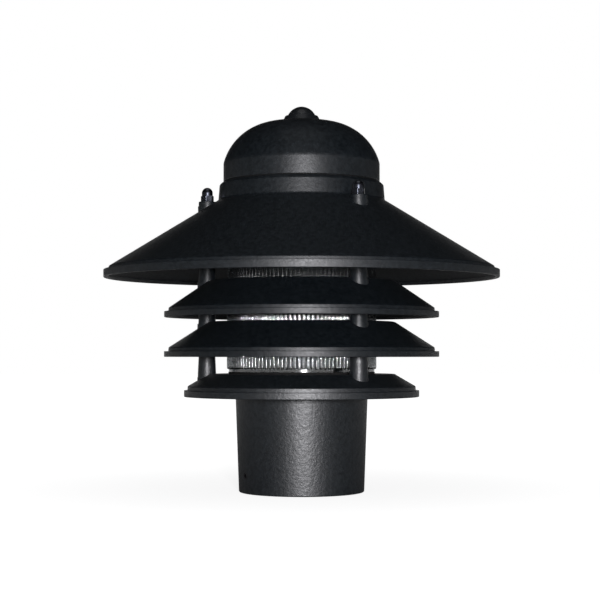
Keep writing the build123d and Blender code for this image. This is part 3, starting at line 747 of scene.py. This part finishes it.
band_low, band_high = CAP_BAND_ENDS
spigot_low, spigot_high = SPIGOT_ENDS
cap, cap_verts = wire(
    (SPIGOT_BORE, spigot_high), (SPIGOT_BORE, spigot_low), (SPIGOT_RADIUS, spigot_low),
    (SPIGOT_RADIUS, band_low), (CAP_RADIUS, band_low), (CAP_RADIUS, band_high),
)
crown_top = swing(cap, cap_verts[-1], CROWN_CENTRE, OUTER_SWEEP, CROWN_STEPS)
crown_hole = run_on(
    cap, crown_top, (STUD_HOLE, CROWN_TOP), (STUD_HOLE, CROWN_UNDER), (CROWN_CENTRE[0], CROWN_UNDER)
)
inner_crease = swing(cap, crown_hole[-1], CROWN_CENTRE, -INNER_SWEEP, CROWN_STEPS)
inner_foot = run_on(cap, inner_crease, (CAP_BORE, spigot_high))
cap.edges.new((inner_foot[0], cap_verts[0]))
soften(cap, cap_verts[1:3] + cap_verts[4:5] + crown_hole[:1], CAP_EDGE_ROUND)
soften(cap, cap_verts[5:6], CREASE_ROUND)
piece("dome_casting", turn(cap), fine_coat, "cap", "black_casting", "dome_cap")

# %% [markdown]
# ## Finial
# A round nut with a flange and a low button, which holds the cap down. The button has a short upright foot,
# which catches the light, and above it two straight runs whose shared corner is rounded widely.

# %% Finial
FINIAL_BOTTOM = 250.67
FINIAL_TOP = 260.67
FINIAL_BORE = 3.08
FINIAL_BORE_TOP = 256.27
FINIAL_FLANGE = 12.9
FLANGE_SHOULDER = (11.1, 254.27)
BUTTON_FOOT = (9.0, 255.5)
BUTTON_CORNER = 5.0
BUTTON_ROUND = 4.6
FLANGE_ROUND = 0.5
FOOT_ROUND = 0.1
FINIAL_STEPS = 128

finial_section = [
    (FINIAL_BORE, FINIAL_BOTTOM), (FINIAL_FLANGE, FINIAL_BOTTOM), FLANGE_SHOULDER,
    (BUTTON_FOOT[0], FLANGE_SHOULDER[1]), BUTTON_FOOT, (BUTTON_CORNER, FINIAL_TOP), (0, FINIAL_TOP),
    (0, FINIAL_BORE_TOP), (FINIAL_BORE, FINIAL_BORE_TOP),
]
finial, finial_verts = wire(*finial_section)
close(finial, finial_verts)
soften(finial, finial_verts[5:6], BUTTON_ROUND, segments=10)
soften(finial, finial_verts[1:3], FLANGE_ROUND)
soften(finial, finial_verts[3:5], FOOT_ROUND)
piece("finial_knob", turn(finial, FINIAL_STEPS), smooth_black, "finial", "black_finial", "finial")

# %% [markdown]
# ## Nuts
# A hexagon nut starts as a six-sided prism with its upright edges rounded, as plating leaves them, so that
# they catch the light. The corners of a real one are turned off at an angle, so the prism is intersected with
# a turned blank that has those chamfers. The acorn nuts also have a turned neck and a dome, and they came to
# rest a little past square when they were tightened.

# %% Nuts
CORNER_FACTOR = 2 / sqrt(3)
CHAMFER_SHARE = 0.55
FLAT_SHARE = 0.97
EDGE_SHARE = 0.06
PAST_CORNER = 1.02
HEX_TURN = 30
ACORN_FLATS = 8.0
ACORN_HEX = 4.0
ACORN_TURN = 14
ACORN_DOME = 3.7
DOME_ROOT = 2.0
DOME_START = 5.9
STUD_NUT_DROP = 5.0


def hex_nut(flats, low, high, bore, chamfer_down=True):
    """A hexagon nut round the Z axis with turned-off corners, in millimetres."""
    corner = flats / 2 * CORNER_FACTOR
    bevel_drop = (corner - flats / 2) * CHAMFER_SHARE
    flat_edge = flats / 2 * FLAT_SHARE
    prism = bmesh.new()
    bmesh.ops.create_cone(
        prism, cap_ends=True, segments=6, radius1=corner * MM, radius2=corner * MM, depth=(high - low) * MM
    )
    upright = [edge for edge in prism.edges if abs(edge.verts[0].co.z - edge.verts[1].co.z) > 0.1 * MM]
    bmesh.ops.bevel(
        prism, geom=upright, offset=flats * EDGE_SHARE * MM, offset_type="OFFSET", segments=4, profile=0.5,
        affect="EDGES", clamp_overlap=True, material=-1,
    )
    rotate(move(prism, z=(low + high) / 2), HEX_TURN)
    past_corner = corner * PAST_CORNER
    foot = [(flat_edge, low), (past_corner, low + bevel_drop)] if chamfer_down else [(past_corner, low)]
    head = [(past_corner, high - bevel_drop), (flat_edge, high)]
    blank = turned([(0, low), *foot, *head, (0, high)], steps=PIN_STEPS, closed=False)
    nut = combine(prism, blank, "INTERSECT")
    return combine(nut, pin(bore, low - 1, high + 1, HOLE_STEPS), "DIFFERENCE") if bore else nut


def acorn_nut(seat):
    """A closed dome nut: hexagon, short neck and a hemisphere, as one solid with a flat foot."""
    hexagon = hex_nut(ACORN_FLATS, seat, seat + ACORN_HEX, bore=0, chamfer_down=False)
    rotate(hexagon, ACORN_TURN)
    neck_top = seat + DOME_START
    dome, dome_verts = wire((0, seat + DOME_ROOT), (ACORN_DOME, seat + DOME_ROOT), (ACORN_DOME, neck_top))
    swing(dome, dome_verts[-1], (0, 0, neck_top), angle=90, steps=10)
    return combine(hexagon, turn(dome, SCREW_STEPS), "UNION")


acorn_nuts = at_rods(acorn_nut(NUT_SEAT))
piece("acorn_nut_set", acorn_nuts, gloss_black, "lantern", "black_nut", "acorn_nuts", sharp=STEEL_SHARP)
steel_piece("rod_nut_set", at_rods(hex_nut(flats=8.0, low=65.5, high=69.5, bore=2.5)), "rod_nuts")
stud_nuts = hex_nut(flats=10.0, low=203.5, high=206.5, bore=3.0)
lower_nut = bmesh.ops.duplicate(stud_nuts, geom=stud_nuts.verts[:] + stud_nuts.edges[:] + stud_nuts.faces[:])
lower_nut_verts = [item for item in lower_nut["geom"] if isinstance(item, bmesh.types.BMVert)]
bmesh.ops.translate(stud_nuts, verts=lower_nut_verts, vec=(0, 0, -STUD_NUT_DROP * MM))
steel_piece("stud_nut_pair", stud_nuts, "stud_nuts")
locknut = hex_nut(flats=14.0, low=72.2, high=PLATE_BOTTOM, bore=5.0)
steel_piece("nipple_locknut_hex", locknut, "nipple_locknut")

# %% [markdown]
# ## Threads
# A thread is one tooth, drawn as a wire over one pitch, that is spun round the axis while it climbs by one
# pitch a turn. The ends are cut square and closed, and then chamfered.

# %% Threads
ROD_RADIUS = 2.5
ROD_SHANK = 2.45
ROD_LOW = 64.6
ROD_HIGH = 201.2
ROD_THREAD_TOP = 78.0
STUD_RADIUS = 3.0
STUD_LOW = 197.0
STUD_HIGH = 255.67
NIPPLE_RADIUS = 5.0
NIPPLE_BORE = 3.5
NIPPLE_LOW = 66.7
NIPPLE_HIGH = 86.0
NIPPLE_DRILL_ENDS = (60, 90)
BLANK_ROOM = 0.3


def threaded(crest, root, pitch, low, high, steps=24, crest_width=0.12, crest_segments=1):
    """A solid threaded rod round the Z axis between two heights, in millimetres."""
    turns = int((high - low) / pitch) + 3
    start = low - pitch * 1.5
    bm, verts = wire((root, start), (crest, start + pitch * 0.5), (root, start + pitch))
    soften(bm, verts[1:2], pitch * crest_width, crest_segments)
    bmesh.ops.spin(
        bm, geom=bm.verts[:] + bm.edges[:], cent=(0, 0, 0), axis=(0, 0, 1), dvec=(0, 0, pitch * MM / steps),
        angle=2 * pi * turns, steps=steps * turns, use_merge=False, use_normal_flip=False,
        use_duplicate=False,
    )
    bmesh.ops.remove_doubles(bm, verts=bm.verts, dist=0.002 * MM)
    for height, side in ((low, -1), (high, 1)):
        cut = bmesh.ops.bisect_plane(
            bm, geom=bm.verts[:] + bm.edges[:] + bm.faces[:], dist=0.0001 * MM, plane_co=(0, 0, height * MM),
            plane_no=(0, 0, side), clear_outer=True, clear_inner=False,
        )
        rim = [item for item in cut["geom_cut"] if isinstance(item, bmesh.types.BMEdge)]
        bmesh.ops.contextual_create(bm, geom=rim)
    bmesh.ops.recalc_face_normals(bm, faces=bm.faces)
    return bm


def chamfered(bm, radius, low, high, size):
    """Turns off both ends of a threaded rod by intersecting it with a chamfered blank."""
    wide = radius + BLANK_ROOM
    reach = size + BLANK_ROOM
    blank = [
        (0, low), (radius - size, low), (wide, low + reach), (wide, high - reach), (radius - size, high),
        (0, high),
    ]
    return combine(bm, turned(blank, steps=PIN_STEPS, closed=False), "INTERSECT")


rod = threaded(ROD_RADIUS, root=2.15, pitch=0.8, low=ROD_LOW, high=ROD_THREAD_TOP)
rod = chamfered(rod, ROD_RADIUS, ROD_LOW, ROD_THREAD_TOP + 1, size=0.4)
rod = combine(rod, pin(ROD_SHANK, ROD_THREAD_TOP - 1, ROD_HIGH, HOLE_STEPS), "UNION")
steel_piece("tie_rod_set", at_rods(rod), "tie_rods")
stud = threaded(STUD_RADIUS, root=2.6, pitch=1.0, low=STUD_LOW, high=STUD_HIGH)
stud = chamfered(stud, STUD_RADIUS, STUD_LOW, STUD_HIGH, size=0.5)
steel_piece("threaded_stud", stud, "cap_stud")
nipple = threaded(NIPPLE_RADIUS, root=4.6, pitch=0.94, low=NIPPLE_LOW, high=NIPPLE_HIGH, steps=SCREW_STEPS)
nipple = chamfered(nipple, NIPPLE_RADIUS, NIPPLE_LOW, NIPPLE_HIGH, size=0.4)
nipple = combine(nipple, pin(NIPPLE_BORE, *NIPPLE_DRILL_ENDS, SCREW_STEPS), "DIFFERENCE")
steel_piece("threaded_nipple", nipple, "nipple")

# %% [markdown]
# ## Reeded lens
# The lens is a pressed glass tube with 110 upright reeds, each rounded off at both ends above a plain band.
# Only one reed is modelled. Its section is an arc that starts flat on the tube's wall, grows to full size
# over the rounded end, runs up and shrinks again. The finished wedge is then copied round by spin.

# %% Reeded lens
REEDS = 110
LENS_LOW = 80.7
LENS_HIGH = 188.5
LENS_INNER = 46.4
LENS_WALL = 49.4
REED_CENTRE = 49.09
REED_RADIUS = 1.411
REED_LOW = 82.4
REED_HIGH = 186.8
REED_END = 1.4
END_ANGLES = (22, 45, 68, 90)
FLAT_REED = 0.0001
LENS_WELD = 0.01 * MM

reed_turn = 360 / REEDS
reed_floor = LENS_WALL - REED_CENTRE
reed_half = sqrt(REED_RADIUS ** 2 - reed_floor ** 2)
valley = (LENS_WALL * cos(radians(reed_turn / 2)), LENS_WALL * sin(radians(reed_turn / 2)))
lens = bmesh.new()
valley_right = lens.verts.new(Vector((valley[0], -valley[1], LENS_LOW)) * MM)
reed_right = lens.verts.new(Vector((LENS_WALL, -reed_half, LENS_LOW)) * MM)
lens.edges.new((valley_right, reed_right))
reed_arc = degrees(2 * acos(reed_floor / REED_RADIUS))
reed_left = swing(lens, reed_right, (REED_CENTRE, 0, LENS_LOW), reed_arc, steps=10, axis=(0, 0, 1))
valley_left = lens.verts.new(Vector((valley[0], valley[1], LENS_LOW)) * MM)
lens.edges.new((reed_left, valley_left))


def extruded(bm, edges):
    """Extrudes a row of edges and gives the new row's edges and vertices."""
    made = bmesh.ops.extrude_edge_only(bm, edges=edges)["geom"]
    new_verts = [item for item in made if isinstance(item, bmesh.types.BMVert)]
    new_edges = [item for item in made if isinstance(item, bmesh.types.BMEdge)]
    return new_edges, new_verts


ends = [(radians(a), REED_END * (1 - cos(radians(a)))) for a in END_ANGLES]
rows = [(FLAT_REED, LENS_LOW), (FLAT_REED, REED_LOW)]
rows += [(sin(a), REED_LOW + rise) for a, rise in ends]
rows += [(sin(a), REED_HIGH - rise) for a, rise in reversed(ends)]
rows += [(FLAT_REED, REED_HIGH), (FLAT_REED, LENS_HIGH)]
lowest_edges = lens.edges[:]
row_edges = lowest_edges
for (_, row_below), (_, height) in zip(rows, rows[1:]):
    row_edges, row_verts = extruded(lens, row_edges)
    bmesh.ops.translate(lens, verts=row_verts, vec=(0, 0, (height - row_below) * MM))
wall_point = Matrix.Translation((-LENS_WALL * MM, 0, 0))
reed_width = (reed_half + valley[1]) / 2
for share, height in rows:
    reed_row = [v for v in lens.verts if abs(v.co.z / MM - height) < 0.001 and abs(v.co.y / MM) < reed_width]
    bmesh.ops.scale(lens, vec=(share, share, 1), space=wall_point, verts=reed_row)
inwards = LENS_INNER / LENS_WALL
outwards = LENS_WALL / LENS_INNER
foot_edges, foot_verts = extruded(lens, lowest_edges)
bmesh.ops.scale(lens, vec=(inwards, inwards, 1), verts=foot_verts)
bore_edges, bore_verts = extruded(lens, foot_edges)
bmesh.ops.translate(lens, verts=bore_verts, vec=(0, 0, (LENS_HIGH - LENS_LOW) * MM))
top_verts = extruded(lens, bore_edges)[1]
bmesh.ops.scale(lens, vec=(outwards, outwards, 1), verts=top_verts)
bmesh.ops.remove_doubles(lens, verts=lens.verts, dist=LENS_WELD)
copies_round(lens, REEDS)
bmesh.ops.remove_doubles(lens, verts=lens.verts, dist=LENS_WELD)
bmesh.ops.recalc_face_normals(lens, faces=lens.faces)
print("lens open edges", sum(1 for e in lens.edges if not e.is_manifold))
piece("reeded_lens", lens, lens_glass, "lantern", "lens_glass", "lens", sharp=50)

# %% [markdown]
# ## Lampholder
# A white porcelain holder with a wide foot stands on the base's plate. It is turned, with the glaze's soft
# edges, and the brass screw shell and contact inside it stay as the CAD model has them.

# %% Lampholder
HOLDER_FOOT = (19.0, 88.2)
HOLDER_RADIUS = 17.5
HOLDER_BORE = 14.0
HOLDER_TOP = 113.2
HOLDER_FLOOR = 89.2
NIPPLE_STOP = 86.2

holder_section = [
    (NIPPLE_HOLE, BASE_TOP), (HOLDER_FOOT[0], BASE_TOP), HOLDER_FOOT, (HOLDER_RADIUS, HOLDER_FOOT[1]),
    (HOLDER_RADIUS, HOLDER_TOP), (HOLDER_BORE, HOLDER_TOP), (HOLDER_BORE, HOLDER_FLOOR),
    (NIPPLE_BORE, HOLDER_FLOOR), (NIPPLE_BORE, NIPPLE_STOP), (NIPPLE_HOLE, NIPPLE_STOP),
]
holder = turned(holder_section, [(1.0, [2, 4]), (0.5, [3, 5])], steps=LAMP_STEPS)
piece("porcelain_holder", holder, porcelain, "lantern", "porcelain", "lampholder")

# %% [markdown]
# ## Lamp
# The photograph shows no lamp glass behind the lens, so the lamp is a clear globe that is easily overlooked:
# a thin shell with a round shoulder down to the neck. Its cap carries the round thread of a screw lamp, which
# climbs round the cap like the other threads but has a wide crest.

# %% Lamp
GLOBE_RADIUS = 24.0
GLOBE_WALL = 1.0
GLOBE_CENTRE = 156.8
NECK_RADIUS = 12.1
NECK_BOTTOM = 109.8
NECK_ROUND = 12.0
SHOULDER_ANGLE = 35
LAMP_CAP_TOP = 118.8
LAMP_CAP_BOTTOM = 94.8
LAMP_CAP_TIP = 9.0
LAMP_CAP_RADIUS = 12.55
LAMP_CAP_ENDS = (98.4, 116.5)
LAMP_CAP_LIP = (13.05, 117.6)
LAMP_CAP_SOCKET = 12.3
LAMP_THREAD_ENDS = (98.85, 117.0)
LAMP_THREAD_ROOT = 12.5
LAMP_THREAD_PITCH = 3.63

shoulder = radians(SHOULDER_ANGLE)
globe_start = (GLOBE_RADIUS * cos(shoulder), GLOBE_CENTRE - GLOBE_RADIUS * sin(shoulder))
neck_top = globe_start[1] - (globe_start[0] - NECK_RADIUS) / tan(shoulder)
globe, globe_verts = wire((NECK_RADIUS, NECK_BOTTOM), (NECK_RADIUS, neck_top), globe_start)
swing(globe, globe_verts[-1], (0, 0, GLOBE_CENTRE), angle=90 + SHOULDER_ANGLE, steps=40)
soften(globe, globe_verts[1:2], NECK_ROUND, segments=12)
turn(globe, LAMP_STEPS)
bmesh.ops.solidify(globe, geom=globe.faces[:], thickness=GLOBE_WALL * MM)
bmesh.ops.recalc_face_normals(globe, faces=globe.faces)
piece("lamp_globe_glass", globe, clear_glass, "lamp", "lamp_glass", "lamp_globe", sharp=60)

cap_thread = threaded(
    LAMP_CAP_LIP[0], LAMP_THREAD_ROOT, LAMP_THREAD_PITCH, *LAMP_THREAD_ENDS, steps=PIN_STEPS,
    crest_width=0.28, crest_segments=4,
)
cap_blank_section = [
    (0, LAMP_CAP_BOTTOM), (LAMP_CAP_TIP, LAMP_CAP_BOTTOM), (LAMP_CAP_RADIUS, LAMP_CAP_ENDS[0]),
    (LAMP_CAP_RADIUS, LAMP_CAP_ENDS[1]), LAMP_CAP_LIP, (LAMP_CAP_LIP[0], LAMP_CAP_TOP), (0, LAMP_CAP_TOP),
]
cap_blank = turned(cap_blank_section, [(0.4, [1, 5])], steps=LAMP_STEPS, closed=False)
screw_cap = combine(cap_thread, cap_blank, "UNION")
socket = pin(LAMP_CAP_SOCKET, NECK_BOTTOM, LAMP_CAP_TOP + 2, LAMP_STEPS)
screw_cap = combine(screw_cap, socket, "DIFFERENCE")
piece("lamp_screw_cap", screw_cap, cap_metal, "lamp", "lamp_metal", "lamp_base", sharp=55)

# %% [markdown]
# ## Strap and screws
# A bent steel strap across the hood's collar holds the stud for the cap. Its side view is drawn as an outline
# with rounded bends, filled and drawn out to the strap's width. The screws have slotted pan heads.

# %% Strap and screws
STRAP_WIDTH = 14.0
STRAP_WALL = 2.0
STRAP_TOP = 203.5
STRAP_FOOT = 50.3
STRAP_LEG = 44.0
STRAP_HOLE = 3.2
STRAP_DRILL_ENDS = (190, 210)
OUTER_BEND = 2.0
INNER_BEND = 0.8
FOOT_TOP = FLANGE_TOP + STRAP_WALL
SLOT_LENGTH = 2.4
SLOT_WIDTH = 0.28
HEAD_ROUND = 0.45
STRAP_SCREW_X = 47.15
EARTH_SCREW_X = 30.07
EARTH_SCREW_Y = 10.94

strap_half = [(STRAP_FOOT, FLANGE_TOP), (STRAP_FOOT, FOOT_TOP), (STRAP_LEG, FOOT_TOP), (STRAP_LEG, STRAP_TOP)]
strap_under = [(STRAP_LEG - STRAP_WALL, STRAP_TOP - STRAP_WALL), (STRAP_LEG - STRAP_WALL, FLANGE_TOP)]
strap_points = strap_half + [(-r, z) for r, z in reversed(strap_half)]
strap_points += [(-r, z) for r, z in reversed(strap_under)] + strap_under
strap, strap_verts = wire(*strap_points)
close(strap, strap_verts)
soften(strap, [strap_verts[i] for i in (3, 4, 8, 11)], OUTER_BEND, segments=5)
soften(strap, [strap_verts[i] for i in (2, 5, 9, 10)], INNER_BEND, segments=3)
bmesh.ops.contextual_create(strap, geom=strap.edges[:])
bmesh.ops.translate(strap, verts=strap.verts, vec=(0, -STRAP_WIDTH / 2 * MM, 0))
drawn = bmesh.ops.extrude_face_region(strap, geom=strap.faces[:])["geom"]
drawn_verts = [item for item in drawn if isinstance(item, bmesh.types.BMVert)]
bmesh.ops.translate(strap, verts=drawn_verts, vec=(0, STRAP_WIDTH * MM, 0))
bmesh.ops.recalc_face_normals(strap, faces=strap.faces)
strap = combine(strap, pin(STRAP_HOLE, *STRAP_DRILL_ENDS), "DIFFERENCE")
steel_piece("bent_strap", strap, "cap_bridge")


def slotted_screw(head, head_low, head_high, shank, tail, slot_angle):
    """A pan-head screw round the Z axis with a straight slot, in millimetres."""
    depth = head_high - head_low
    body = turned(
        [(0, tail), (shank, tail), (shank, head_low), (head, head_low), (head, head_high), (0, head_high)],
        [(depth * HEAD_ROUND, [4]), (0.3, [1])], steps=SCREW_STEPS, closed=False,
    )
    slot = bmesh.new()
    bmesh.ops.create_cube(slot, size=1.0)
    slot_size = (head * SLOT_LENGTH * MM, head * SLOT_WIDTH * MM, depth * MM)
    bmesh.ops.scale(slot, vec=slot_size, verts=slot.verts)
    rotate(move(slot, z=head_high), slot_angle)
    return combine(body, slot, "DIFFERENCE")


strap_screw = slotted_screw(
    head=2.9, head_low=FOOT_TOP, head_high=197.5, shank=1.6, tail=190.2, slot_angle=25
)
steel_piece("strap_screws", copies_round(move(strap_screw, x=STRAP_SCREW_X), 2), "bridge_screws")
earth_screw = slotted_screw(
    head=4.0, head_low=BASE_TOP, head_high=81.6, shank=2.0, tail=73.7, slot_angle=50
)
move(earth_screw, x=EARTH_SCREW_X, y=EARTH_SCREW_Y)
piece("earth_screw", earth_screw, green_dip, "lantern", "green_screw", "ground_screw", sharp=STEEL_SHARP)

# %% [markdown]
# ## Pieces kept from the CAD model
# Gaskets, washers, set screws and the contacts are plain turned shapes that the CAD model already gives
# exactly. They keep their mesh and only take a finish.

# %% Pieces kept from the CAD model
kept = {
    "cap_gasket": rubber, "finial_washer": rubber, "lens_gasket_lower": rubber, "lens_gasket_upper": rubber,
    "rod_washers": zinc, "front_set_screw": dark_steel, "rear_set_screw": dark_steel,
    "nipple_bushing": bushing_plastic, "screw_shell": brass, "centre_contact": brass, "lamp_tip": brass,
}
for name, material in kept.items():
    for place in nodes[name].material_slots:
        place.material = material
print("kept", len(kept), "CAD nodes")
